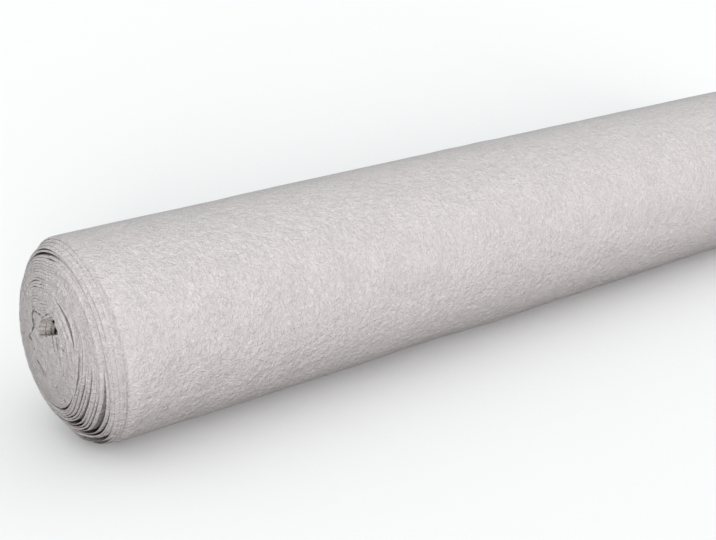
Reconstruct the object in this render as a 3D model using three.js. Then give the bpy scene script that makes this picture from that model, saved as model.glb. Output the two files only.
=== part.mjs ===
// Roll of geotextile: ten metres of needle-punched cloth, wound without a core and lying on its side.
// Millimetres, +Z up, +X along the roll. The origin is on the surface, below the middle of the roll.
// Angles in the section are in degrees: 0 is the back, 90 the top, 180 the front and 270 the underside.
// A layer is a place in the winding: 0 is the wall of the hollow middle and 1 the outer wrap.
import * as THREE from 'three';

// The cloth
const CLOTH_WIDTH = 1000;
const CLOTH_THICKNESS = 1.8;
const CLOTH_COLOUR = 0xd8d1ce;

// The wound form
const ROLL_RADIUS = 85;
const SAG = 1;
const BELLY = 1.2;
const FLAT_SPOT_WIDTH = 44;
const TAIL_ANGLE = 305;
const TAIL_SLOPE = 1.4;

// The turns have slid along the roll, so that one end is crowned and the other is dished
const CROWN = 36;
const CROWN_FULLNESS = 0.47;
const CROWN_LEAN = 0.2;
const CROWN_LEAN_ANGLE = -14;

// The middle has fallen in to a star: how far each fold of it reaches from its centre
const HOLLOW_CENTRE = new THREE.Vector2(-2, 21);
const HOLLOW_FOLDS = [
  { angle: 30, reach: 17 },
  { angle: 92, reach: 8.5 },
  { angle: 124, reach: 15 },
  { angle: 165, reach: 24 },
  { angle: 215, reach: 10 },
  { angle: 285, reach: 10.5 },
  { angle: 321, reach: 25 },
  { angle: 350, reach: 13 },
];

// Where neighbouring turns stand apart: the spread is to each side of the angle, the depth along the roll
const GAP_WIDTH = 0.032;
const NEAR_GAPS = [
  { layer: 0.4, angle: 133, spread: 40, depth: 12 },
  { layer: 0.54, angle: 68, spread: 30, depth: 6 },
  { layer: 0.54, angle: 242, spread: 36, depth: 8 },
  { layer: 0.63, angle: 225, spread: 44, depth: 10 },
  { layer: 0.7, angle: 82, spread: 16, depth: 8 },
  { layer: 0.7, angle: 216, spread: 48, depth: 14 },
  { layer: 0.78, angle: 70, spread: 42, depth: 14 },
  { layer: 0.84, angle: 62, spread: 28, depth: 8 },
  { layer: 0.84, angle: 212, spread: 50, depth: 14 },
  { layer: 0.94, angle: 170, spread: 80, depth: 4 },
];
const FAR_GAPS = [
  { layer: 0.42, angle: 255, spread: 60, depth: 9 },
  { layer: 0.64, angle: 110, spread: 50, depth: 7 },
  { layer: 0.64, angle: 290, spread: 60, depth: 12 },
  { layer: 0.82, angle: 240, spread: 70, depth: 12 },
];

// How finely the skin is divided
const COLUMNS = 84;
const NEAR_LAYERS = [0, 0.08, 0.2, 0.31, 0.47, 0.9, 0.975, 0.993, 1];
const FAR_LAYERS = [0, 0.1, 0.25, 0.53, 0.73, 0.91, 0.975, 1];
const WRAP_STEPS = 7;
const HOLLOW_STEPS = 3;

const flatSpotLevel = -Math.sqrt(ROLL_RADIUS ** 2 - (FLAT_SPOT_WIDTH / 2) ** 2);

function direction(angle) {
  const turn = THREE.MathUtils.degToRad(angle);
  return new THREE.Vector2(Math.cos(turn), Math.sin(turn));
}

// The angle from one direction round to another, from 0 up to 360
function turnFrom(start, angle) {
  return THREE.MathUtils.euclideanModulo(angle - start, 360);
}

// The hollow's reach eases from each fold to the next
function hollowReach(angle) {
  const first = HOLLOW_FOLDS.findLastIndex((fold) => fold.angle <= turnFrom(0, angle));
  const here = HOLLOW_FOLDS.at(first);
  const next = HOLLOW_FOLDS[(first + 1 + HOLLOW_FOLDS.length) % HOLLOW_FOLDS.length];
  const share = turnFrom(here.angle, angle) / turnFrom(here.angle, next.angle);
  return THREE.MathUtils.lerp(here.reach, next.reach, THREE.MathUtils.smoothstep(share, 0, 1));
}

// The outer wrap runs once round as a spiral and steps down by one thickness at its tail
function wrapPoint(column, along) {
  const spiral = ROLL_RADIUS - CLOTH_THICKNESS * (1 - column.wound);
  const sag = SAG * Math.cos(2 * THREE.MathUtils.degToRad(column.angle));
  const belly = BELLY * Math.sin(Math.PI * along);
  const point = direction(column.angle).multiplyScalar(spiral + sag + belly);
  point.y = Math.max(point.y, flatSpotLevel);
  return point;
}

function hollowPoint(column) {
  return direction(column.angle).multiplyScalar(hollowReach(column.angle)).add(HOLLOW_CENTRE);
}

// How far the turn at a place in the section has slid out past the outer wrap
function slide(point, outer) {
  const share = Math.min(1, point.length() / outer.length());
  const towardLean = point.dot(direction(CROWN_LEAN_ANGLE)) / ROLL_RADIUS;
  return CROWN * (1 - share ** 2) ** CROWN_FULLNESS * (1 + CROWN_LEAN * towardLean);
}

// A gap is deepest at its own angle and closes at the ends of its spread
function gapDepth(gaps, layer, angle) {
  let depth = 0;
  for (const gap of gaps.filter((row) => row.layer === layer)) {
    const away = Math.abs(turnFrom(gap.angle - 180, angle) - 180);
    depth += gap.depth * THREE.MathUtils.smoothstep(gap.spread - away, 0, gap.spread);
  }
  return depth;
}

// Every ring of an end, from the hollow out: the plain layers and three rings for each gap
function endLayers(plainLayers, gaps) {
  const layers = new Set(plainLayers);
  for (const gap of gaps) {
    layers.add(gap.layer - GAP_WIDTH / 2);
    layers.add(gap.layer);
    layers.add(gap.layer + GAP_WIDTH / 2);
  }
  return [...layers].sort((a, b) => a - b);
}

// The cut edges of the turns at one end; inward is the way along the roll that a gap goes down
function endRings(columns, plainLayers, gaps, edgeX, inward) {
  return endLayers(plainLayers, gaps).map((layer) => columns.map((column) => {
    const outer = wrapPoint(column, 0);
    const point = hollowPoint(column).lerp(outer, layer);
    const gap = inward * gapDepth(gaps, layer, column.angle);
    return new THREE.Vector3(edgeX - slide(point, outer) + gap, point.x, point.y);
  }));
}

function wrapRings(columns) {
  const rings = [];
  for (let step = 1; step < WRAP_STEPS; step += 1) {
    const along = step / WRAP_STEPS;
    rings.push(columns.map((column) => {
      const point = wrapPoint(column, along);
      return new THREE.Vector3(CLOTH_WIDTH * along, point.x, point.y);
    }));
  }
  return rings;
}

// The wall of the hollow, from the rim at the far end back to the rim at the near end
function hollowRings(farRim, nearRim) {
  const rings = [];
  for (let step = 1; step < HOLLOW_STEPS; step += 1) {
    rings.push(farRim.map((point, index) => point.clone().lerp(nearRim[index], step / HOLLOW_STEPS)));
  }
  return rings;
}

// Joins closed rings into one closed skin, the last ring back to the first
function skin(rings) {
  const ringSize = rings[0].length;
  const indices = [];
  rings.forEach((ring, row) => {
    const here = row * ringSize;
    const next = ((row + 1) % rings.length) * ringSize;
    for (let column = 0; column < ringSize; column += 1) {
      const beside = (column + 1) % ringSize;
      indices.push(here + column, here + beside, next + beside);
      indices.push(here + column, next + beside, next + column);
    }
  });
  const geometry = new THREE.BufferGeometry().setFromPoints(rings.flat());
  geometry.setIndex(indices);
  geometry.computeVertexNormals();
  return geometry;
}

// Columns run round the section from just past the tail's end to the tail itself
function sectionColumns() {
  return Array.from({ length: COLUMNS }, (_, index) => {
    const wound = index / (COLUMNS - 1);
    return { angle: TAIL_ANGLE + wound * (360 - TAIL_SLOPE), wound };
  });
}

// Puts the middle of the underside at the origin
function standOnOrigin(geometry) {
  geometry.computeBoundingBox();
  const middle = geometry.boundingBox.getCenter(new THREE.Vector3());
  return geometry.translate(-middle.x, -middle.y, -geometry.boundingBox.min.z);
}

function clothRoll() {
  const columns = sectionColumns();
  const near = endRings(columns, NEAR_LAYERS, NEAR_GAPS, 0, 1);
  const far = endRings(columns, FAR_LAYERS, FAR_GAPS, CLOTH_WIDTH, -1).reverse();
  const hollow = hollowRings(far.at(-1), near[0]);
  const geometry = standOnOrigin(skin([...near, ...wrapRings(columns), ...far, ...hollow]));
  const cloth = new THREE.MeshStandardMaterial({ color: CLOTH_COLOUR, roughness: 0.95, metalness: 0 });
  const mesh = new THREE.Mesh(geometry, cloth);
  mesh.name = 'roll';
  return mesh;
}

const roll = new THREE.Group();
roll.add(clothRoll());

export default roll;
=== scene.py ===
# %% [markdown]
# # A roll of geotextile
# Ten metres of needle-punched cloth, wound on itself and laid on its side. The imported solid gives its
# size and place. This lesson winds a real strip of cloth into the same space, so that every turn that
# shows at the ends is a turn of one long sheet, and then gives that sheet the look of matted fibres.

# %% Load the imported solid
import math

import bpy
import numpy as np
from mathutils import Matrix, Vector


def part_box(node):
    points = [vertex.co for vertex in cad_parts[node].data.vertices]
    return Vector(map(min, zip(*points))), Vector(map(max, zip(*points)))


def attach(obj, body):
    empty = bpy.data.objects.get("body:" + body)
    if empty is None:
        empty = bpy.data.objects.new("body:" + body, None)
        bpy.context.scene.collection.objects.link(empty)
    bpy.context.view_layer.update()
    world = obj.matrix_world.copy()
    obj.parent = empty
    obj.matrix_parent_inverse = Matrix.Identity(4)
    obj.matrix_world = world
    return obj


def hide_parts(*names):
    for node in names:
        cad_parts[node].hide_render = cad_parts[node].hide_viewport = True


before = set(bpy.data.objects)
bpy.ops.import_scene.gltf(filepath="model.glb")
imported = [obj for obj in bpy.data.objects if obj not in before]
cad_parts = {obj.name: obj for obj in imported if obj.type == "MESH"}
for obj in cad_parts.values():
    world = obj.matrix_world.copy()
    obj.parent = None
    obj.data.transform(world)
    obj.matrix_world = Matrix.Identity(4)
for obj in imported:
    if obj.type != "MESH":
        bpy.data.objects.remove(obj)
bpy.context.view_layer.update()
roll_low, roll_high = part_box("roll")
print("roll solid, metres:", [round(b - a, 4) for a, b in zip(roll_low, roll_high)])

# %% [markdown]
# ## The section of the winding
# Seen from the end, a roll is one long spiral. It could be drawn as rings, but rings close on themselves
# and cloth doesn't. So a place in the winding is given by one number, the turns wound so far: 0 is the
# start of the winding at the bunched middle, and the last turn ends at the tail. Each turn lies some
# share of the way from that middle to the outer wrap. Angles are in degrees: 0 is the back, 90 the top,
# 180 the front and 270 the underside.

# %% Sizes of the cloth and of the wound form
CLOTH_WIDTH = 1.0
CLOTH_THICKNESS = 0.0018
ROLL_RADIUS = 0.085
SAG = 0.001
BELLY = 0.0012
FLAT_SPOT_WIDTH = 0.044
TURNS = 25.3
TAIL_ANGLE = 305.0

axis_height = math.sqrt(ROLL_RADIUS ** 2 - (FLAT_SPOT_WIDTH / 2) ** 2)
wrap_far_x = roll_high[0]
wrap_near_x = wrap_far_x - CLOTH_WIDTH


def direction(angle):
    turn = np.radians(angle)
    return np.stack([np.cos(turn), np.sin(turn)], axis=-1)


def smooth(share):
    held = np.clip(share, 0.0, 1.0)
    return held * held * (3.0 - 2.0 * held)


def angle_apart(angle, other):
    return np.abs((angle - other + 180.0) % 360.0 - 180.0)


def turn_angle(turns):
    return TAIL_ANGLE - 360.0 * (TURNS - turns)


print("axis height, metres:", round(axis_height, 4))

# %% [markdown]
# The middle of the roll has fallen in: the start of the cloth is bunched into a wad, with a lopsided
# hollow near its top. It could be wound like the rest, but its own turns can't be told apart, so it is
# one outline. Two short tables hold the shape as seen from the hollow's centre: how far the open hollow
# reaches in each direction, and how far the wad reaches. The turns are wound on the wad. Its sharp
# corners soften within a turn or two, and its folds fade from turn to turn into a plain round.

# %% The hollow, the wad and the outer wrap
HOLLOW_CENTRE = np.array([-0.007, 0.021])
HOLLOW_FOLDS = np.array([
    # angle, reach of the hollow
    (0, 0.0065),
    (45, 0.0060),
    (90, 0.0070),
    (120, 0.0105),
    (150, 0.0185),
    (160, 0.0190),
    (170, 0.0210),
    (175, 0.0205),
    (180, 0.0165),
    (190, 0.0115),
    (205, 0.0080),
    (260, 0.0055),
    (295, 0.0080),
    (320, 0.0120),
    (335, 0.0090),
])
WAD_FOLDS = np.array([
    # angle, reach of the wad
    (0, 0.0170),
    (10, 0.0195),
    (22, 0.0195),
    (35, 0.0145),
    (50, 0.0110),
    (75, 0.0080),
    (90, 0.0100),
    (120, 0.0160),
    (150, 0.0210),
    (170, 0.0250),
    (190, 0.0305),
    (205, 0.0325),
    (230, 0.0410),
    (262, 0.0490),
    (273, 0.0400),
    (283, 0.0350),
    (295, 0.0340),
    (305, 0.0280),
    (328, 0.0285),
    (340, 0.0180),
    (350, 0.0155),
])
WAD_CENTRE = np.array([-0.008, 0.002])
WAD_RADIUS = 0.030
FOLD_FADE_TURNS = 10.0
CORNER_FADE_TURNS = 1.5
CORNER_SPREAD = np.linspace(-16.0, 16.0, 9)


def fold_reach(folds, angle):
    """How far a fold reaches at each angle, eased from each row of its table to the next."""
    angles, reaches = folds.T
    first = np.searchsorted(angles, angle % 360.0, side="right") - 1
    after = (first + 1) % len(reaches)
    span = (angles[after] - angles[first]) % 360.0
    ease = smooth((angle % 360.0 - angles[first]) / span)
    return reaches[first] + (reaches[after] - reaches[first]) * ease


def round_reach(angle):
    """How far a plain round about the wad's centre reaches from the hollow's centre."""
    apart = HOLLOW_CENTRE - WAD_CENTRE
    toward = direction(angle) @ apart
    return np.sqrt(toward ** 2 - apart @ apart + WAD_RADIUS ** 2) - toward


def wad_line(turns):
    """The line the turns are wound on: the wad's folds, fading to a round with each turn."""
    angle = turn_angle(turns)
    reach = fold_reach(WAD_FOLDS, angle)
    eased = np.mean([fold_reach(WAD_FOLDS, angle + apart) for apart in CORNER_SPREAD], axis=0)
    reach += (eased - reach) * smooth(turns / CORNER_FADE_TURNS) - CLOTH_THICKNESS / 2
    reach += (round_reach(angle) - reach) * smooth(turns / FOLD_FADE_TURNS)
    return HOLLOW_CENTRE + direction(angle) * reach[..., None]


def wrap_line(angle):
    radius = ROLL_RADIUS - CLOTH_THICKNESS / 2 + SAG * np.cos(np.radians(2 * angle))
    line = direction(angle) * radius[..., None]
    line[..., 1] = np.maximum(line[..., 1], CLOTH_THICKNESS / 2 - axis_height)
    return line


print("folds of the hollow and the wad:", len(HOLLOW_FOLDS), len(WAD_FOLDS))

# %% [markdown]
# Cloth never winds evenly. Where two turns stand apart, the end of the roll shows a dark crescent. Each
# row of the next table opens one: how many turns in it lies, its angle, how far it spreads to each side,
# and how wide it gapes. The step from one side of a crescent to the other sits opposite it, where the
# crescent is closed, so the sheet stays whole. Finer gaps, from a seeded draw, lie about the front, where
# the roll is slack.

# %% Loose turns
LOOSE_TURNS = [
    # turn, angle, spread, gape
    (0.0, 10, 45, 0.0048),
    (0.0, 335, 25, 0.0054),
    (0.0, 50, 25, 0.0020),
    (0.0, 290, 30, 0.0030),
    (2.5, 65, 45, 0.0002),
    (4.0, 80, 25, 0.0002),
    (5.0, 55, 25, 0.0002),
    (6.5, 60, 20, 0.0002),
    (8.0, 150, 40, 0.0052),
    (8.5, 95, 6, 0.0004),
    (9.0, 70, 25, 0.0002),
    (9.5, 60, 6, 0.0004),
    (10.0, 74, 6, 0.0004),
    (10.0, 195, 35, 0.0010),
    (10.0, 245, 35, 0.0014),
    (11.0, 100, 6, 0.0004),
    (11.5, 60, 20, 0.0006),
    (12.0, 75, 20, 0.0004),
    (12.5, 225, 35, 0.0014),
    (13.5, 215, 55, 0.0022),
    (14.5, 220, 40, 0.0016),
    (15.0, 190, 20, 0.0008),
    (15.5, 220, 60, 0.0034),
    (16.5, 240, 30, 0.0012),
    (17.5, 215, 40, 0.0016),
    (18.5, 220, 35, 0.0014),
    (19.5, 85, 10, 0.0008),
    (19.5, 215, 45, 0.0040),
    (20.0, 75, 40, 0.0016),
    (20.5, 215, 40, 0.0022),
    (21.5, 75, 25, 0.0008),
    (22.5, 220, 20, 0.0010),
    (23.0, 180, 30, 0.0002),
    (23.0, 255, 45, 0.0036),
    (23.5, 260, 40, 0.0034),
    (24.0, 185, 30, 0.0001),
]
FINE_GAPS = 16
FINE_GAP_SEED = 11
FINE_GAP_TURNS = (10.0, TURNS - 2.5)
FINE_GAP_ANGLE, FINE_GAP_SCATTER = 195.0, 28.0
FINE_GAP_SPREADS = (24.0, 50.0)
FINE_GAPES = (0.0002, 0.0006)

gap_draw = np.random.default_rng(FINE_GAP_SEED)
for _ in range(FINE_GAPS):
    LOOSE_TURNS.append((
        gap_draw.uniform(*FINE_GAP_TURNS),
        gap_draw.normal(FINE_GAP_ANGLE, FINE_GAP_SCATTER),
        gap_draw.uniform(*FINE_GAP_SPREADS),
        gap_draw.uniform(*FINE_GAPES),
    ))


def loosened(turns):
    """The share of the way out that all gaps take up at each place, and that of the gaps passed so far."""
    angle = turn_angle(turns)
    depth = np.linalg.norm(wrap_line(angle) - wad_line(turns), axis=-1)
    opened = np.zeros_like(turns)
    passed = np.zeros_like(turns)
    for gap_turn, gap_angle, spread, gape in LOOSE_TURNS:
        gap = smooth(1.0 - angle_apart(angle, gap_angle) / spread) * gape / depth
        opposite = TURNS - ((TAIL_ANGLE - gap_angle - 180.0) % 360.0) / 360.0
        step = opposite - round(opposite - gap_turn)
        opened += gap
        passed += gap * (turns > step)
    return opened, passed


def layer_share(turns):
    """How far each turn lies from the wad, 0, to the outer wrap, 1."""
    opened, passed = loosened(turns)
    return turns / TURNS * (1.0 - opened) + passed


print("gaps between turns:", len(LOOSE_TURNS))

# %% [markdown]
# With the gaps known, the middle of the cloth can be followed from the wad to the tail. The length of
# that line tells how much cloth is wound up, and where along the cloth each turn lies.

# %% The line of the cloth through the section
LENGTH_STEPS = 12000
NORMAL_STEP = 0.002


def cloth_line(turns):
    inner = wad_line(turns)
    return inner + (wrap_line(turn_angle(turns)) - inner) * layer_share(turns)[..., None]


def cloth_normal(turns):
    ahead = cloth_line(turns + NORMAL_STEP) - cloth_line(turns - NORMAL_STEP)
    ahead /= np.linalg.norm(ahead, axis=-1, keepdims=True)
    return np.stack([ahead[..., 1], -ahead[..., 0]], axis=-1)


length_steps = np.linspace(0.0, TURNS, LENGTH_STEPS)
step_points = cloth_line(length_steps)
step_lengths = np.linalg.norm(np.diff(step_points, axis=0), axis=-1)
wound_length = np.concatenate([[0.0], np.cumsum(step_lengths)])
print("length of cloth wound up, metres:", round(wound_length[-1], 2))

# %% [markdown]
# ## How thick each turn is
# Felt gives way: packed turns are squeezed and slack ones fluff up. One thickness for all would leave
# cracks between some turns and push others into each other. So each half of the cloth follows the room on
# its own side, up to the gap if there is one. A hair-thin seam comes and goes between packed turns.

# %% Thickness
FLUFFED_THICKNESS = 0.0060
SQUEEZED_THICKNESS = 0.0006
SEAM = 0.00016
SEAM_LENGTHS = (0.31, 0.47, 0.83)
SEAM_SEED = 61


def waves(places, lengths, seed):
    """A smooth random line, about -1 to 1, with the given wavelengths."""
    draw = np.random.default_rng(seed)
    total = np.zeros_like(places)
    for length in lengths:
        total += np.sin(2 * np.pi * (places / length + draw.uniform()))
    return total / math.sqrt(len(lengths))


def toward_neighbour(turns, step):
    """The room that is cloth from each turn to the next, or to the one before, and the gap in between."""
    normal = cloth_normal(turns)
    reach = wrap_line(turn_angle(turns)) - wad_line(turns)
    across = step * np.sum((cloth_line(turns + step) - cloth_line(turns)) * normal, axis=-1)
    gap = step * (loosened(turns + step)[1] - loosened(turns)[1]) * np.sum(reach * normal, axis=-1)
    return across - gap, gap


def cloth_sides(turns):
    """How far the outer and inner faces lie from the middle of the cloth, and the gaps beyond them."""
    outward, gap_out = toward_neighbour(turns, 1.0)
    inward, gap_in = toward_neighbour(turns, -1.0)
    last, first = turns > TURNS - 1.0, turns < 1.0
    outward = np.where(last, CLOTH_THICKNESS, outward)
    gap_out = np.where(last, 0.0, gap_out)
    inward = np.where(first, np.minimum(outward, CLOTH_THICKNESS), inward)
    gap_in = np.where(first, 0.0, gap_in)
    outer = np.clip(outward, SQUEEZED_THICKNESS, FLUFFED_THICKNESS) / 2
    inner = np.clip(inward, SQUEEZED_THICKNESS, FLUFFED_THICKNESS) / 2
    seam = SEAM * smooth(0.5 + 0.5 * waves(turns, SEAM_LENGTHS, SEAM_SEED))
    return outer - np.minimum(seam, outer / 2), inner, gap_out, gap_in


print("thickness, metres:", SQUEEZED_THICKNESS, "to", FLUFFED_THICKNESS)

# %% [markdown]
# ## Where the edges lie
# The turns have slid along the roll, the inner ones furthest, which crowns one end and dishes the other.
# The cut edges are ragged: each turn's edge wanders a little on its own, and all of them share a fine
# unevenness that runs across the turns, as in felt that has matted together. Packed edges lie against
# each other, so each is cut on the slant, from the level of the turn before to that of the turn after.
# The looser outer turns wander more and are matted and slanted less.

# %% Edges of the turns
CROWN = 0.0343
CROWN_FULLNESS = 0.52
CROWN_LEAN = 0.15
CROWN_LEAN_ANGLE = -36.0
INNER_WANDER, OUTER_WANDER = 0.00025, 0.0011
WANDER_LENGTHS = (1.37, 2.3, 3.1, 4.7)
STEADY_TURNS = 2.0
INNER_FRAY, OUTER_FRAY = 0.00025, 0.0001
FRAY_LENGTHS = (0.003, 0.012)
FRAY_WAVES = 22
INNER_SLANT, OUTER_SLANT = 0.92, 0.78
WIDEST_SLANT = 0.0016
FIRST_LOOSER_TURN = 7.0
LOOSENING_TURNS = 8.0
NEAR_SEED, FAR_SEED = 21, 31


def fray(line, seed):
    """A fine unevenness over the section, about -1 to 1, from waves in all directions."""
    draw = np.random.default_rng(seed)
    total = np.zeros(line.shape[:-1])
    for _ in range(FRAY_WAVES):
        way = direction(draw.uniform(0.0, 360.0))
        length = draw.uniform(*FRAY_LENGTHS)
        total += np.sin(2 * np.pi * (line @ way / length + draw.uniform()))
    return total / math.sqrt(FRAY_WAVES)


def inner_to_outer(turns, inner, outer):
    """A value that passes from that of the inner turns to that of the looser outer turns."""
    return inner + (outer - inner) * smooth((turns - FIRST_LOOSER_TURN) / LOOSENING_TURNS)


def dome(line):
    """How far the cloth at a place in the section stands out past the edge of the outer wrap."""
    wrap = wrap_line(np.degrees(np.arctan2(line[..., 1], line[..., 0])))
    share = np.linalg.norm(line, axis=-1) / np.linalg.norm(wrap, axis=-1)
    crown = CROWN * (1.0 - np.clip(share, 0.0, 1.0) ** 2) ** CROWN_FULLNESS
    return crown * (1.0 + CROWN_LEAN * (line @ direction(np.array(CROWN_LEAN_ANGLE))) / ROLL_RADIUS)


def turn_edge(turns, seed):
    """Where the edge of each turn lies along the roll, measured from the edge of the outer wrap."""
    line = cloth_line(turns)
    steadied = smooth((TURNS - turns) / STEADY_TURNS)
    wander = inner_to_outer(turns, INNER_WANDER, OUTER_WANDER) * steadied
    matted = inner_to_outer(turns, INNER_FRAY, OUTER_FRAY)
    own = wander * waves(turns, WANDER_LENGTHS, seed) * smooth(turns)
    return own + matted * fray(line, seed + 1) - dome(line)


def cut_edges(turns, seed):
    """The edge of each turn at its outer face and at its inner face."""
    here = turn_edge(turns, seed)
    after = np.where(turns > TURNS - 1.0, here, turn_edge(turns + 1.0, seed))
    before = np.where(turns < 1.0, 2 * here - after, turn_edge(turns - 1.0, seed))
    slant = inner_to_outer(turns, INNER_SLANT, OUTER_SLANT)
    outer = np.clip(slant * (after - here) / 2, -WIDEST_SLANT, WIDEST_SLANT)
    inner = np.clip(slant * (here - before) / 2, -WIDEST_SLANT, WIDEST_SLANT)
    return here + outer, here - inner


print("crown, metres:", CROWN)

# %% [markdown]
# ## A skin from rings of points
# Every piece of the roll is built the same way. Its points lie in rings, each ring going once round a
# slice of the cloth: out along the outer face, over one cut edge, back along the inner face and over the
# other cut edge. Joined ring to ring and closed at both ends, they make one skin. Modifiers could thicken
# a bare strip, but then its edges couldn't be cut on the slant. Every point also keeps its place in the
# unrolled cloth, along, across and through it, so that the fibres can be drawn on flat cloth and then
# ride round the roll.

# %% A mesh from rings
# The third finish is painted shade: darker felt put where cracks, deep creases and the deep hollow lie in
# shade.
FINISHES = ("face", "cut edge", "painted shade", "wall of the hollow")
FACE, CUT, PAINTED_SHADE, WALL = range(len(FINISHES))


def skin_object(name, points, places, slots, sharp_columns):
    """The slots give a material to every strip round the ring; the sharp columns are its hard corners."""
    rows, ring = points.shape[:2]
    points[..., 2] = np.maximum(points[..., 2], 0.0)
    grid = np.arange(rows * ring).reshape(rows, ring)
    ahead = np.roll(grid, -1, axis=1)
    skin = np.stack([grid[:-1], grid[1:], ahead[1:], ahead[:-1]], axis=-1).reshape(-1, 4)
    mesh = bpy.data.meshes.new(name)
    faces = skin.tolist() + [grid[0].tolist(), grid[-1, ::-1].tolist()]
    mesh.from_pydata(points.reshape(-1, 3).tolist(), [], faces)
    mesh.shade_smooth()
    felt = mesh.attributes.new("felt", "FLOAT_VECTOR", "POINT")
    felt.data.foreach_set("vector", places.astype(np.float32).ravel())
    # The hidden end caps get the painted shade finish too.
    finishes = np.append(slots.ravel(), (PAINTED_SHADE, PAINTED_SHADE)).astype(np.int32)
    mesh.polygons.foreach_set("material_index", finishes)
    ends = np.empty(len(mesh.edges) * 2, dtype=np.int32)
    mesh.edges.foreach_get("vertices", ends)
    row, column = np.divmod(ends.reshape(-1, 2), ring)
    at_end = (row == 0).all(axis=1) | (row == rows - 1).all(axis=1)
    at_corner = np.isin(column, sharp_columns).all(axis=1) & (column[:, 0] == column[:, 1])
    sharp = mesh.attributes.new("sharp_edge", "BOOLEAN", "EDGE")
    sharp.data.foreach_set("value", at_end | at_corner)
    piece = bpy.data.objects.new(name, mesh)
    bpy.context.scene.collection.objects.link(piece)
    return piece


print("finishes of a skin:", ", ".join(FINISHES))

# %% [markdown]
# ## The bunched start
# The wad in the middle is one piece with the hollow running through it. Its ends are patches of matted
# felt, level with the turns round them. At the near end a few creases run down beside the hollow, and a
# shelf above it lies a little deeper. Creases could be painted on, but only a real dent shows from every
# side. The deepest parts of the creases also get painted shade.

# %% Ends of the wad
SHELF_RECESS, SHELF_ANGLE, SHELF_SPREAD = 0.003, 112.0, 42.0
CREASES = [
    # two points in the section, depth, width to each side
    ((-0.0205, 0.0185), (-0.0215, 0.0135), 0.0030, 0.0010),
    ((-0.0215, 0.0135), (-0.0240, 0.0080), 0.0030, 0.0010),
    ((-0.0260, 0.0190), (-0.0275, 0.0100), 0.0034, 0.0010),
    ((-0.0345, 0.0125), (-0.0350, 0.0100), 0.0060, 0.0017),
    ((-0.0290, 0.0020), (-0.0280, -0.0070), 0.0012, 0.0010),
    ((-0.0120, -0.0040), (-0.0100, -0.0130), 0.0008, 0.0012),
]


def crease_depth(section):
    """How deep the creases in the end of the wad are at places in the section."""
    total = np.zeros(section.shape[:-1])
    for first, last, depth, width in CREASES:
        start, run = np.array(first), np.array(last) - np.array(first)
        share = np.clip((section - start) @ run / (run @ run), 0.0, 1.0)
        apart = np.linalg.norm(section - start - share[..., None] * run, axis=-1)
        total += depth * smooth(1.0 - apart / width)
    return total


def wad_ends(section, angle):
    """The two ends of the wad along the roll, at places in the section."""
    crown = dome(section)
    shelf = SHELF_RECESS * smooth(1.0 - angle_apart(angle, SHELF_ANGLE) / SHELF_SPREAD)
    near = wrap_near_x - crown + INNER_FRAY * fray(section, NEAR_SEED + 1) + shelf[:, None]
    near += crease_depth(section)
    far = wrap_far_x - crown + INNER_FRAY * fray(section, FAR_SEED + 1)
    return near, far


print("creases:", len(CREASES))

# %% [markdown]
# Looking into the hollow, one sees its back wall, a darker fold of cloth ridged by the pressing. A little
# way in the fold ends, the wall steps back and the hollow goes dark, partly in real shade and partly with
# painted shade on its felt, as is its front wall. The ridges are waves down the hollow that drift a little
# as they go round it. The front wall is undercut, so that only the back one shows.

# %% The wall of the hollow
RIDGE_HEIGHT = 0.0011
RIDGE_LENGTHS = (0.0018, 0.0022, 0.0029)
RIDGE_SEED = 52
RIDGE_DRIFT = 0.0003
RIDGE_DRIFT_LENGTHS = (0.004, 0.007)
RIDGE_DRIFT_SEED = 51
RIDGE_START, RIDGE_RISE = 0.0005, 0.002
RIDGE_DEPTH, RIDGE_FADE = 0.035, 0.01
FOLD_DEPTH = 0.0102
FOLD_RISE, FOLD_RISE_OVER = 0.0035, 50.0
FOLD_RISE_FROM = -10.0
FOLD_CLOSING = 0.7
FOLD_STEP, FOLD_STEP_OVER = 0.007, 0.003
BACK_REACH, BACK_FADE = 130.0, 75.0
UNDERCUT, UNDERCUT_OVER = 0.005, 0.004
UNDERCUT_ANGLE, UNDERCUT_FADE = 80.0, 30.0
FRONT_SHADE_ANGLE = 85.0
FRONT_SHADE_DEPTH = 0.0006


def fold_end(angle):
    """How deep in the hollow the fold at its back ends; it ends sooner near the top."""
    past_back = (angle + 180.0) % 360.0 - 180.0
    return FOLD_DEPTH - FOLD_RISE * smooth((past_back - FOLD_RISE_FROM) / FOLD_RISE_OVER)


def wall_ridges(along, depth):
    """How far the ridges stand back, at places round the hollow and down it."""
    drift = RIDGE_DRIFT * waves(along, RIDGE_DRIFT_LENGTHS, RIDGE_DRIFT_SEED)
    wavy = waves(depth + drift, RIDGE_LENGTHS, RIDGE_SEED)
    faded = smooth((RIDGE_DEPTH - depth) / RIDGE_FADE)
    return RIDGE_HEIGHT * wavy * faded * smooth((depth - RIDGE_START) / RIDGE_RISE)


def hollow_wall(angle, along, depth):
    """How far the wall of the hollow stands back, outward all round and towards the back of the roll."""
    from_back = angle_apart(angle, 0.0)
    in_front = smooth((from_back - UNDERCUT_ANGLE) / UNDERCUT_FADE)
    undercut = UNDERCUT * in_front * smooth(depth / UNDERCUT_OVER)
    end = fold_end(angle)
    past_fold = smooth((depth - end) / FOLD_STEP_OVER)
    backward = (FOLD_CLOSING * end + FOLD_STEP) * past_fold - FOLD_CLOSING * np.minimum(depth, end)
    return wall_ridges(along, depth) + undercut, backward * smooth((BACK_REACH - from_back) / BACK_FADE)


def wall_finish(angle, depth):
    """The back wall shows down to the end of its fold; the rest of the hollow gets painted shade."""
    in_front = angle_apart(angle, 0.0) > FRONT_SHADE_ANGLE
    in_shade = (depth > fold_end(angle)) | (in_front & (depth > FRONT_SHADE_DEPTH))
    return np.where(in_shade, PAINTED_SHADE, WALL)


print("fold at the back of the hollow ends, metres deep:", FOLD_DEPTH)

# %% [markdown]
# The wad's rings run from its outline at the far end in to the hollow, through the hollow to the near
# end, and back out to the outline. Points crowd near the mouth of the hollow, where the ridges show.

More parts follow.
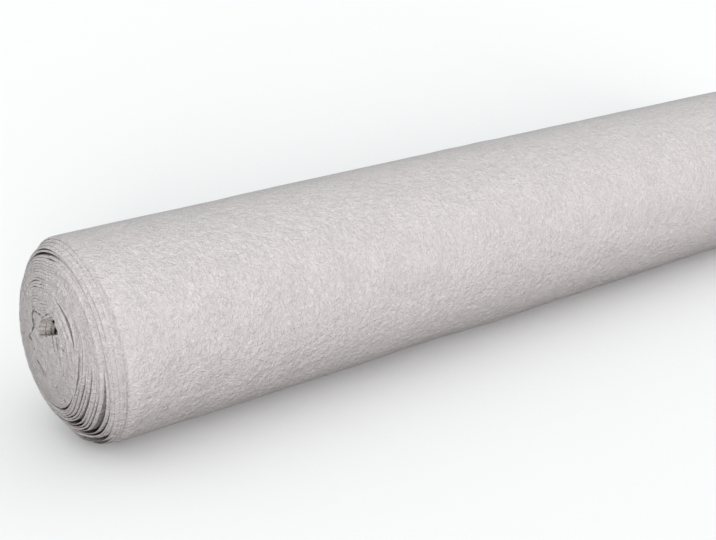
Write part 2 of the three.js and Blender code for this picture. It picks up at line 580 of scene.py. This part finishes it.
# %% Build the bunched start
WAD_ROWS = 320
WAD_STEPS = 48
WALL_STATIONS = 120
STATION_CROWDING = 1.4
HOLLOW_RADIUS = 0.006
CREASE_SHADE = 0.0012


def bunched_start():
    """The wad as one piece: rings over its far end, along the wall of the hollow and over its near end."""
    turns = np.linspace(0.0, 1.0, WAD_ROWS)
    angle = turn_angle(turns)
    outline = fold_reach(WAD_FOLDS, angle) - CLOTH_THICKNESS * (1.0 - turns)
    opening = fold_reach(HOLLOW_FOLDS, angle)
    shares = np.linspace(0.0, 1.0, WAD_STEPS + 1)
    reach = outline[:, None] + (opening - outline)[:, None] * shares
    way = direction(angle)[:, None, :]
    ends = HOLLOW_CENTRE + way * reach[..., None]
    near, far = wad_ends(ends, angle)
    depth = RIDGE_DEPTH * (np.arange(WALL_STATIONS, 0, -1) / WALL_STATIONS) ** STATION_CROWDING
    along = HOLLOW_RADIUS * np.radians(angle)[:, None]
    outward, backward = hollow_wall(angle[:, None], along, depth[None, :])
    wall = opening[:, None] + outward
    reach = np.concatenate([reach[:, :-1], wall[:, :1], wall, reach[:, ::-1]], axis=1)
    x = np.concatenate([far, near[:, -1:] + depth, near[:, ::-1]], axis=1)
    section = HOLLOW_CENTRE + way * reach[..., None]
    section[:, WAD_STEPS, 0] += backward[:, 0]
    section[:, WAD_STEPS + 1:WAD_STEPS + 1 + WALL_STATIONS, 0] += backward
    points = np.concatenate([x[..., None], section + np.array([0.0, axis_height])], axis=-1)
    places = np.stack([along + 0 * x, x - wrap_near_x, reach], axis=-1)
    wall_slots = wall_finish(angle[:, None], depth)
    end_slots = np.full((WAD_ROWS, WAD_STEPS), CUT)
    # The strips that never show get painted shade.
    hidden = np.full((WAD_ROWS, 1), PAINTED_SHADE)
    # Where a crease is deeper than the shade depth, its felt gets painted shade; the rest of the near end
    # is cut edge.
    creased = np.where(crease_depth(ends)[:, -2::-1] > CREASE_SHADE, PAINTED_SHADE, CUT)
    slots = np.concatenate([end_slots, hidden, wall_slots, creased, hidden], axis=1)
    corners = (0, points.shape[1] - 1)
    return skin_object("bunched_start", points, places, slots[:-1], corners)


wad = bunched_start()
print("bunched start:", len(wad.data.polygons), "faces")

# %% [markdown]
# ## Winding the sheet
# The rest is one long strip. Across the cloth the rings crowd their points at the cut edges, where the
# felt tapers; the hidden stretch between needs none. Cut edges deep in the roll are packed flat against
# each other, and those of slack turns and of the outer wrap are thinner at the rim. The tight edge of the
# wrap also presses a shallow groove into the front of the roll.

# %% Edges of the sheet
PACKED_INSETS = (0.0, 0.0004, 0.0011, 0.003, 0.006, 0.03)
TAPER_INSETS = (0.0, 0.0008, 0.0018, 0.0030, 0.0045, 0.0070)
TAPER_SHARES = (0.0, 0.36, 0.62, 0.82, 0.95, 1.0)
TAPERED_TURNS = (0.0, 9.0, 14.0, 22.0, 24.25, 24.26)
TAPERED = (0.05, 0.08, 0.16, 0.26, 0.40, 0.75)
SLACK_TAPER = 0.45
INNER_CUT, OUTER_CUT = 0.0005, 0.0012
LAST_INNER_TURN = 12.0
LAST_PAINTED_SHADE_TURN = 21.9
PINCH = 0.0024
PINCH_WIDTH = 0.0024
PINCH_TURN, PINCH_RISE_TURNS = 22.9, 1.2
PINCH_ANGLE, PINCH_SPREAD, PINCH_FADE = 205.0, 105.0, 35.0
FAR_FROM_EDGES = 1.0


def pinch(turns, x):
    """How far the outer wrap's tight edge presses in the turns about it, at places along the roll."""
    hollowed = np.exp(-(((x - wrap_near_x) / PINCH_WIDTH) ** 2))
    in_front = smooth((PINCH_SPREAD - angle_apart(turn_angle(turns), PINCH_ANGLE)) / PINCH_FADE)
    near_wrap = smooth((turns - PINCH_TURN) / PINCH_RISE_TURNS)
    return PINCH * hollowed * (in_front * near_wrap)[:, None]


def sheet_stations(insets, inner_stations):
    """Stations across the cloth: a share of its width, an offset in metres, and the distance to an edge."""
    rows = [(0.0, inset, inset) for inset in insets]
    for step in range(1, inner_stations + 1):
        share = step / (inner_stations + 1)
        rows.append((share, insets[-1] * (1.0 - 2.0 * share), FAR_FROM_EDGES))
    rows += [(1.0, -inset, inset) for inset in reversed(insets)]
    return np.array(rows)


def sheet_slots(turns, stations):
    """Cut edges; faces of the inner turns, which get painted shade; and faces that show."""
    ring = np.concatenate([stations[:, 2], stations[::-1, 2]])
    cut_depth = np.where(turns[:-1] < LAST_INNER_TURN, INNER_CUT, OUTER_CUT)
    cut = np.maximum(ring, np.roll(ring, -1)) < cut_depth[:, None]
    # Faces of the inner turns get painted shade, so that the cracks between them read dark.
    face = np.where(turns[:-1] < LAST_PAINTED_SHADE_TURN, PAINTED_SHADE, FACE)
    return np.where(cut, CUT, face[:, None])


print("points from each packed edge:", len(PACKED_INSETS))

# %% [markdown]
# Each face of the sheet lies half the cloth's thickness from its middle line, less the taper near the
# edges. Both faces are worked out for every turn and every station at once, and then joined into rings.

# %% A sheet from the winding


def wound_sheet(name, turns, stations, relief=None):
    """A length of the sheet as one piece; a relief raises it at places on the flat cloth."""
    line = cloth_line(turns)
    normal = cloth_normal(turns)
    along = np.interp(turns, length_steps, wound_length)
    near = cut_edges(turns, NEAR_SEED)
    far = cut_edges(turns, FAR_SEED)
    outer_half, inner_half, gap_out, gap_in = cloth_sides(turns)
    tapered = np.interp(turns, TAPERED_TURNS, TAPERED)
    to_edge = 1.0 - np.interp(stations[:, 2], TAPER_INSETS, TAPER_SHARES)
    slack_out = tapered + SLACK_TAPER * smooth(gap_out / CLOTH_THICKNESS)
    slack_in = SLACK_TAPER * smooth(gap_in / CLOTH_THICKNESS)
    outer = outer_half[:, None] * (1.0 - slack_out[:, None] * to_edge)
    inner = inner_half[:, None] * (slack_in[:, None] * to_edge - 1.0)
    faces = []
    for side, through in enumerate((outer, inner)):
        across = (CLOTH_WIDTH + far[side] - near[side])[:, None] * stations[:, 0] + stations[:, 1]
        place = np.stack([along[:, None] + 0 * across, across, through], axis=-1)
        if relief is not None:
            through = through + relief(along[:, None], across)
        x = wrap_near_x + near[side][:, None] + across
        through = through - pinch(turns, x)
        section = line[:, None, :] + normal[:, None, :] * through[..., None]
        section += np.array([0.0, axis_height])
        faces.append(np.concatenate([x[..., None], section, place], axis=-1))
    ring = np.concatenate([faces[0], faces[1][:, ::-1]], axis=1)
    count = len(stations)
    corners = (0, count - 1, count, 2 * count - 1)
    return skin_object(name, ring[..., :3], ring[..., 3:], sheet_slots(turns, stations), corners)


def even_steps(first, last, spacing):
    """Turns at even spacing along the cloth, in metres."""
    ends = np.interp([first, last], length_steps, wound_length)
    count = int(math.ceil((ends[1] - ends[0]) / spacing)) + 1
    return np.interp(np.linspace(*ends, count), wound_length, length_steps)


print("sheet ready to wind, metres wide:", CLOTH_WIDTH)

# %% [markdown]
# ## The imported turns
# Nearly all of the cloth is hidden between its neighbours, but its edges show at both ends. The turns are
# cut into five lengths, so that none of the meshes grows too large. The last of them has more points near
# its edges, where the groove is pressed in.

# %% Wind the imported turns
FINE_SPACING = 0.0008
OUTER_INSETS = (0.0, 0.0004, 0.0011, 0.003, *np.arange(0.005, 0.016, 0.001), 0.03)
WRAP_OVERLAP = 15.0
WRAP_START = TURNS - 1.0 - WRAP_OVERLAP / 360.0
LENGTHS = (
    # name, first turn, last turn, stations from each edge
    ("first_turns", 0.0, 9.5, PACKED_INSETS),
    ("inner_turns", 9.5, 15.0, PACKED_INSETS),
    ("middle_turns", 15.0, 19.5, PACKED_INSETS),
    ("later_turns", 19.5, 23.2, PACKED_INSETS),
    ("outer_turns", 23.2, WRAP_START, OUTER_INSETS),
)
packed_turns = []
for length_name, first, last, insets in LENGTHS:
    steps = even_steps(first, last, FINE_SPACING)
    piece = wound_sheet(length_name, steps, sheet_stations(insets, 0))
    packed_turns.append(piece)
    print(length_name, len(piece.data.polygons), "faces")

# %% [markdown]
# ## The outer wrap
# The last turn is the same cloth, but all of its width shows. It gets points across its whole width, and
# they are raised and lowered in soft waves: the wrap swells a little halfway along the roll, and felt
# pulled round a roll is never quite true. The waves run askew, so that they don't line up with the roll.

# %% Wind the outer wrap
WRAP_INSETS = (*TAPER_INSETS, 0.012)
WRAP_SPACING = 0.0019
WRAP_STATIONS = 130
WAVE_HEIGHT = 0.0005
FINE_WAVE_SHARE = 0.4
BROAD_WAVES = (
    # skew, wavelengths and seed, first of the waves across the cloth and then of those along it
    (0.35, (0.31, 0.21, 0.143), 41),
    (-0.2, (0.33, 0.19), 42),
)
FINE_WAVES = (
    (-0.6, (0.083, 0.061), 43),
    (0.5, (0.071, 0.053), 44),
)
SETTLED_FROM, SETTLED_OVER = 0.002, 0.05


def askew_waves(along, across, rows):
    """Waves across the cloth times waves along it, each askew by a share of the other way."""
    (skew, lengths, seed), (other_skew, other_lengths, other_seed) = rows
    waves_across = waves(across + skew * along, lengths, seed)
    return waves_across * waves(along + other_skew * across, other_lengths, other_seed)


def wrap_relief(along, across):
    """How far the outer wrap is raised at places on the flat cloth; it lies true near its edges."""
    swell = BELLY * np.sin(np.pi * np.clip(across / CLOTH_WIDTH, 0.0, 1.0))
    broad = askew_waves(along, across, BROAD_WAVES)
    fine = askew_waves(along, across, FINE_WAVES)
    from_near = smooth((across - SETTLED_FROM) / SETTLED_OVER)
    from_far = smooth((CLOTH_WIDTH - SETTLED_FROM - across) / SETTLED_OVER)
    return swell + from_near * from_far * WAVE_HEIGHT * (broad + FINE_WAVE_SHARE * fine)


wrap_steps = even_steps(WRAP_START, TURNS, WRAP_SPACING)
wrap_stations = sheet_stations(WRAP_INSETS, WRAP_STATIONS)
outer_wrap = wound_sheet("outer_wrap", wrap_steps, wrap_stations, wrap_relief)
print("outer wrap:", len(outer_wrap.data.polygons), "faces")

# %% [markdown]
# ## Matted fibres
# Needle-punched cloth is a mat of loose fibres that cross each other in all directions. All four
# materials need that look, so it is a node group. It reads a place in metres and gives a tone and a
# height. Each of four layers of strands is a noise stretched one way; the thin lines where that noise
# passes its middle value are the fibres. Round noise makes the clumps between them, and broader lumps
# raise the height alone.

# %% Helpers for node trees


def new_group(name, inputs, outputs):
    group = bpy.data.node_groups.new(name, "ShaderNodeTree")
    for label, kind, value in inputs:
        socket = group.interface.new_socket(label, in_out="INPUT", socket_type=kind)
        if value is not None:
            socket.default_value = value
    for label, kind in outputs:
        group.interface.new_socket(label, in_out="OUTPUT", socket_type=kind)
    return group, group.nodes.new("NodeGroupInput"), group.nodes.new("NodeGroupOutput")


def node(tree, kind, **settings):
    made = tree.nodes.new(kind)
    for key, value in settings.items():
        setattr(made, key, value)
    return made


def connect(tree, value, socket):
    """Links a socket's source, or sets a plain number or vector on it."""
    if isinstance(value, bpy.types.NodeSocket):
        tree.links.new(value, socket)
    else:
        socket.default_value = value


def vector_math(tree, operation, first, second):
    made = node(tree, "ShaderNodeVectorMath", operation=operation)
    connect(tree, first, made.inputs[0])
    connect(tree, second, made.inputs[1])
    return made.outputs["Vector"]


def math_node(tree, operation, first, second=0.0):
    made = node(tree, "ShaderNodeMath", operation=operation)
    connect(tree, first, made.inputs[0])
    connect(tree, second, made.inputs[1])
    return made.outputs[0]


def noise(tree, vector, scale, detail=2.0, roughness=0.5, output="Fac"):
    made = node(tree, "ShaderNodeTexNoise")
    connect(tree, vector, made.inputs["Vector"])
    connect(tree, scale, made.inputs["Scale"])
    connect(tree, detail, made.inputs["Detail"])
    connect(tree, roughness, made.inputs["Roughness"])
    return made.outputs[output]


def between(tree, value, low, high):
    """0 at low, 1 at high, held outside."""
    made = node(tree, "ShaderNodeMapRange", interpolation_type="SMOOTHSTEP")
    connect(tree, value, made.inputs["Value"])
    connect(tree, low, made.inputs["From Min"])
    connect(tree, high, made.inputs["From Max"])
    return made.outputs["Result"]


print("node helpers ready")

# %% The matted fibre group
STRAND_ANGLES = (-1.2, -0.4, 0.45, 1.25)  # radians
STRAND_SCALE = 460.0
STRAND_WIDTH = 0.09
STRAND_SHARE = 0.13
LAYER_SHIFT = (0.37, 0.53)
FELT_STRETCH = 2.4
CLUMP_SCALE, CLUMP_DETAIL, CLUMP_ROUGHNESS = 640.0, 3.0, 0.6
CLUMP_SHARE = 0.5
TONE_LOW, TONE_HIGH = 0.24, 0.60
LUMP_SCALE = 170.0
LUMP_SHARE = 1.1
WANDER_SCALE = 120.0
WANDER_SIZE = 0.002


def matted_fibres():
    group, start, end = new_group(
        "matted fibres",
        [("Place", "NodeSocketVector", None), ("Stretch", "NodeSocketFloat", FELT_STRETCH)],
        [("Tone", "NodeSocketFloat"), ("Height", "NodeSocketFloat")],
    )
    place = start.outputs["Place"]
    wander = noise(group, place, WANDER_SCALE, 1.0, output="Color")
    drift = vector_math(group, "SUBTRACT", wander, (0.5, 0.5, 0.5))
    sideways = vector_math(group, "MULTIPLY", drift, (WANDER_SIZE,) * 3)
    wandering = vector_math(group, "ADD", place, sideways)
    shape = node(group, "ShaderNodeCombineXYZ")
    connect(group, math_node(group, "DIVIDE", 1.0, start.outputs["Stretch"]), shape.inputs["X"])
    connect(group, 1.0, shape.inputs["Y"])
    connect(group, 1.0, shape.inputs["Z"])
    clumps = noise(group, wandering, CLUMP_SCALE, CLUMP_DETAIL, CLUMP_ROUGHNESS)
    total = math_node(group, "MULTIPLY", clumps, CLUMP_SHARE)
    for layer, angle in enumerate(STRAND_ANGLES):
        turned = node(group, "ShaderNodeVectorRotate", rotation_type="Z_AXIS")
        connect(group, wandering, turned.inputs["Vector"])
        connect(group, angle, turned.inputs["Angle"])
        drawn_out = vector_math(group, "MULTIPLY", turned.outputs["Vector"], shape.outputs["Vector"])
        apart = vector_math(group, "ADD", drawn_out, (LAYER_SHIFT[0] * layer, LAYER_SHIFT[1] * layer, 0.0))
        middle = math_node(group, "SUBTRACT", noise(group, apart, STRAND_SCALE, 1.0), 0.5)
        strand = between(group, math_node(group, "ABSOLUTE", middle), STRAND_WIDTH, 0.0)
        total = math_node(group, "ADD", total, math_node(group, "MULTIPLY", strand, STRAND_SHARE))
    connect(group, between(group, total, TONE_LOW, TONE_HIGH), end.inputs["Tone"])
    lumps = math_node(group, "MULTIPLY", noise(group, wandering, LUMP_SCALE, 1.0), LUMP_SHARE)
    connect(group, math_node(group, "ADD", total, lumps), end.inputs["Height"])
    return group


fibres = matted_fibres()
print("group:", fibres.name, "with", len(fibres.nodes), "nodes")

# %% [markdown]
# Felt is also uneven at a larger scale. It is thinner and greyer in clouds a few centimetres wide, and
# here and there a dark bit is caught in it. That is a second group, which all four materials use as well.

# %% The cloudy felt group
CLOUD_SCALE, CLOUD_DETAIL, CLOUD_ROUGHNESS = 38.0, 4.0, 0.6
SPECK_SCALE = 700.0
SPECK_LOW, SPECK_HIGH = 0.86, 0.90


def cloudy_felt():
    group, start, end = new_group(
        "cloudy felt",
        [("Place", "NodeSocketVector", None)],
        [("Cloud", "NodeSocketFloat"), ("Specks", "NodeSocketFloat")],
    )
    place = start.outputs["Place"]
    cloud = noise(group, place, CLOUD_SCALE, CLOUD_DETAIL, CLOUD_ROUGHNESS)
    specks = between(group, noise(group, place, SPECK_SCALE, 0.0), SPECK_LOW, SPECK_HIGH)
    connect(group, cloud, end.inputs["Cloud"])
    connect(group, specks, end.inputs["Specks"])
    return group


clouds = cloudy_felt()
print("group:", clouds.name, "with", len(clouds.nodes), "nodes")

# %% [markdown]
# ## The cloth's materials
# One cloth has four finishes. The faces are a pale warm grey. The cut edges are the same grey with more
# contrast, because they show the ends of the fibres, and their fibres lie in the space of the roll, since
# the edges have matted together. Faces packed between turns get painted shade, a darker felt, so that the
# cracks read as deep. The wall of the hollow is darker than the faces and a little yellow.

# %% Colours of the cloth
COLOURS = {
    # name: dark, light
    "geotextile_face": ((0.530, 0.499, 0.500), (0.605, 0.569, 0.570)),
    "geotextile_edge": ((0.500, 0.471, 0.471), (0.610, 0.575, 0.575)),
    # painted shade: darker felt for the cracks between turns, the deep creases and the deep hollow
    "geotextile_painted_shade": ((0.200, 0.188, 0.184), (0.310, 0.292, 0.286)),
    "geotextile_wall": ((0.370, 0.347, 0.322), (0.480, 0.450, 0.420)),
}
CLOUD_TINT, CLOUD_LOW, CLOUD_HIGH = (0.955, 0.957, 0.96), 0.34, 0.62
SPECK_TINT = (0.70, 0.69, 0.66)
FELT_RELIEF = 0.0016
DARK_ROUGHNESS, LIGHT_ROUGHNESS = 0.99, 0.88
SPECULAR_LEVEL = 0.2


def ramp(tree, value, stops):
    made = node(tree, "ShaderNodeValToRGB")
    connect(tree, value, made.inputs["Fac"])
    elements = made.color_ramp.elements
    while len(elements) < len(stops):
        elements.new(1.0)
    for element, (place, colour) in zip(elements, stops):
        element.position = place
        element.color = (*colour, 1.0)
    return made.outputs["Color"]


def tinted(tree, colour, factor, tint):
    """The colour multiplied towards a tint by a factor."""
    made = node(tree, "ShaderNodeMix", data_type="RGBA", blend_type="MULTIPLY")
    connect(tree, factor, made.inputs["Factor"])
    connect(tree, colour, made.inputs["A"])
    connect(tree, (*tint, 1.0), made.inputs["B"])
    return made.outputs["Result"]


print("finishes:", ", ".join(COLOURS))

# %% The felt of each finish


def felt_material(name, rides_the_cloth=True):
    dark, light = COLOURS[name]
    material = bpy.data.materials.new(name)
    material.use_nodes = True
    tree = material.node_tree
    shader = tree.nodes["Principled BSDF"]
    if rides_the_cloth:
        place = node(tree, "ShaderNodeAttribute", attribute_name="felt").outputs["Vector"]
    else:
        place = node(tree, "ShaderNodeTexCoord").outputs["Object"]
    mat = node(tree, "ShaderNodeGroup", node_tree=fibres)
    connect(tree, place, mat.inputs["Place"])
    connect(tree, FELT_STRETCH, mat.inputs["Stretch"])
    uneven = node(tree, "ShaderNodeGroup", node_tree=clouds)
    connect(tree, place, uneven.inputs["Place"])
    colour = ramp(tree, mat.outputs["Tone"], [(0.0, dark), (1.0, light)])
    thin = between(tree, uneven.outputs["Cloud"], CLOUD_HIGH, CLOUD_LOW)
    colour = tinted(tree, colour, thin, CLOUD_TINT)
    colour = tinted(tree, colour, uneven.outputs["Specks"], SPECK_TINT)
    connect(tree, colour, shader.inputs["Base Color"])
    bump = node(tree, "ShaderNodeBump")
    connect(tree, 1.0, bump.inputs["Strength"])
    connect(tree, FELT_RELIEF, bump.inputs["Distance"])
    connect(tree, mat.outputs["Height"], bump.inputs["Height"])
    connect(tree, bump.outputs["Normal"], shader.inputs["Normal"])
    rough_stops = [(0.0, (DARK_ROUGHNESS,) * 3), (1.0, (LIGHT_ROUGHNESS,) * 3)]
    rough = ramp(tree, mat.outputs["Tone"], rough_stops)
    connect(tree, rough, shader.inputs["Roughness"])
    connect(tree, SPECULAR_LEVEL, shader.inputs["Specular IOR Level"])
    return material


felts = (
    felt_material("geotextile_face"),
    felt_material("geotextile_edge", rides_the_cloth=False),
    felt_material("geotextile_painted_shade"),
    felt_material("geotextile_wall"),
)
for piece in (wad, *packed_turns, outer_wrap):
    for felt in felts:
        piece.data.materials.append(felt)
    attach(piece, "root")
    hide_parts("roll")
print("materials:", [felt.name for felt in felts])

# %% [markdown]
# ## Stage and light
# A plain white floor, an even white sky and one soft lamp from the front, a little above the floor. A
# white floor would throw so much light back up that the underside of the roll turned flat, so rays that
# bounce see a dark floor, and only the camera sees a white one.

# %% Floor
FLOOR_SIZE = 30.0
FLOOR_SEEN, FLOOR_BOUNCED = 0.9, 0.05


def flat_floor():
    half = FLOOR_SIZE / 2
    mesh = bpy.data.meshes.new("floor")
    corners = [(-half, -half, 0), (half, -half, 0), (half, half, 0), (-half, half, 0)]
    mesh.from_pydata(corners, [], [(0, 1, 2, 3)])
    floor = bpy.data.objects.new("floor", mesh)
    bpy.context.scene.collection.objects.link(floor)
    material = bpy.data.materials.new("floor_white")
    material.use_nodes = True
    tree = material.node_tree
    shader = tree.nodes["Principled BSDF"]
    pale = ramp(tree, node(tree, "ShaderNodeLightPath").outputs["Is Camera Ray"], [
        (0.0, (FLOOR_BOUNCED,) * 3),
        (1.0, (FLOOR_SEEN,) * 3),
    ])
    connect(tree, pale, shader.inputs["Base Color"])
    shader.inputs["Roughness"].default_value = 1.0
    mesh.materials.append(material)
    return floor


flat_floor()
print("floor, metres:", FLOOR_SIZE)

# %% Light
SKY_COLOUR, SKY_STRENGTH = (0.975, 1.0, 1.0, 1.0), 0.95
KEY_COLOUR, KEY_STRENGTH = (1.03, 1.0, 1.0), 2.6
KEY_ANGLE = 24.0
KEY_WAY = Vector((0.42, 0.90, -0.19))

world = bpy.data.worlds.new("studio")
world.use_nodes = True
bpy.context.scene.world = world
world.node_tree.nodes["Background"].inputs["Color"].default_value = SKY_COLOUR
world.node_tree.nodes["Background"].inputs["Strength"].default_value = SKY_STRENGTH

key = bpy.data.lights.new("key", "SUN")
key.color = KEY_COLOUR
key.energy = KEY_STRENGTH
key.angle = math.radians(KEY_ANGLE)
key_object = bpy.data.objects.new("key", key)
bpy.context.scene.collection.objects.link(key_object)
key_object.rotation_euler = KEY_WAY.to_track_quat("-Z", "Y").to_euler()
bpy.context.scene.view_settings.view_transform = "Standard"
print("key lamp, watts per square metre:", KEY_STRENGTH)

# %% [markdown]
# ## The camera
# It stands where the photograph was taken from. It could be placed by hand, but here its place is worked
# out: the middle of the wrap's near end shows at a known pixel, and the roll's width there gives the
# distance.

# %% Camera
IMAGE_WIDTH, IMAGE_HEIGHT = 716, 540
SENSOR_WIDTH = 36.0
FOCAL_PIXELS = 1176.0
END_PIXEL = (81.8, 339.4)
ROLL_WIDTH_PER_DEPTH = 0.1869
LOOK = Vector((0.541, 0.750, -0.379)).normalized()
NEAREST_SEEN = 0.01


def photo_camera():
    camera = bpy.data.cameras.new("camera")
    camera.sensor_width = SENSOR_WIDTH
    camera.lens = FOCAL_PIXELS * SENSOR_WIDTH / IMAGE_WIDTH
    camera.clip_start = NEAREST_SEEN
    piece = bpy.data.objects.new("camera", camera)
    bpy.context.scene.collection.objects.link(piece)
    right = LOOK.cross(Vector((0, 0, 1))).normalized()
    up = right.cross(LOOK)
    across = (END_PIXEL[0] - IMAGE_WIDTH / 2) / FOCAL_PIXELS
    down = (END_PIXEL[1] - IMAGE_HEIGHT / 2) / FOCAL_PIXELS
    depth = 2 * ROLL_RADIUS / ROLL_WIDTH_PER_DEPTH
    end = Vector((wrap_near_x, 0.0, axis_height))
    piece.location = end - depth * (LOOK + across * right - down * up)
    piece.rotation_euler = LOOK.to_track_quat("-Z", "Y").to_euler()
    return piece


bpy.context.scene.camera = photo_camera()
print("camera, metres:", [round(x, 3) for x in bpy.context.scene.camera.location])
